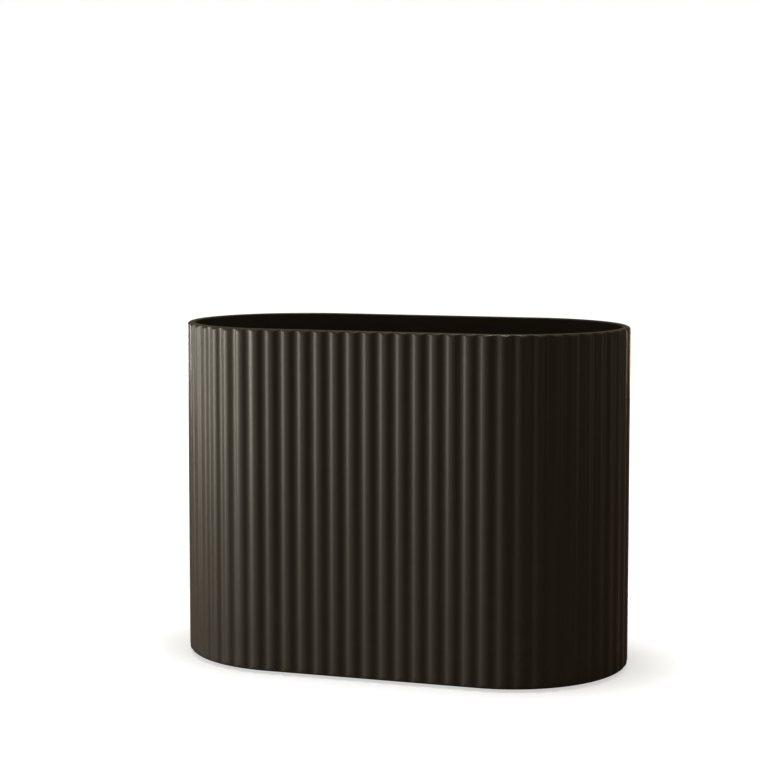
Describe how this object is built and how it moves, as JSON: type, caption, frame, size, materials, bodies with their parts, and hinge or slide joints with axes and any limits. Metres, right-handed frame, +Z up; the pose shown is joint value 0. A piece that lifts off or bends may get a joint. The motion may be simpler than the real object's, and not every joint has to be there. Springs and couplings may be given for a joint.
{
  "type": "utensil organizer",
  "caption": "Tall fluted utensil organizer with a stadium plan, a lift-out drain basket with upright dividers, and a drip tray on non-slip pads.",
  "frame": {"origin": "on the table, under the middle of the organizer", "axes": "+X along its length, -Y towards its front, +Z up"},
  "size_m": [0.2408, 0.127, 0.18],
  "materials": {
    "shell_plastic": "warm charcoal, fine matte moulded texture",
    "tray_plastic": "warm charcoal, satin moulded",
    "insert_plastic": "charcoal, satin moulded",
    "pad_rubber": "dark grey, matte, soft"
  },
  "bodies": {
    "base": {"drip_tray": "tray_plastic", "foot_front_left": "pad_rubber", "foot_front_right": "pad_rubber", "foot_rear_left": "pad_rubber", "foot_rear_right": "pad_rubber"},
    "shell": {"outer_shell": "shell_plastic"},
    "basket": {"drain_basket": "insert_plastic"},
    "left_divider": {"left_divider": "insert_plastic"},
    "right_divider": {"right_divider": "insert_plastic"}
  },
  "joints": [
    {"name": "shell_lift", "type": "slide", "parent": "base", "child": "shell", "axis": [0, 0, 1], "range_m": [0, 0.06]},
    {"name": "basket_lift", "type": "slide", "parent": "shell", "child": "basket", "axis": [0, 0, 1], "range_m": [0, 0.17]},
    {"name": "left_divider_lift", "type": "slide", "parent": "basket", "child": "left_divider", "axis": [0, 0, 1], "range_m": [0, 0.15]},
    {"name": "right_divider_lift", "type": "slide", "parent": "basket", "child": "right_divider", "axis": [0, 0, 1], "range_m": [0, 0.15]}
  ]
}
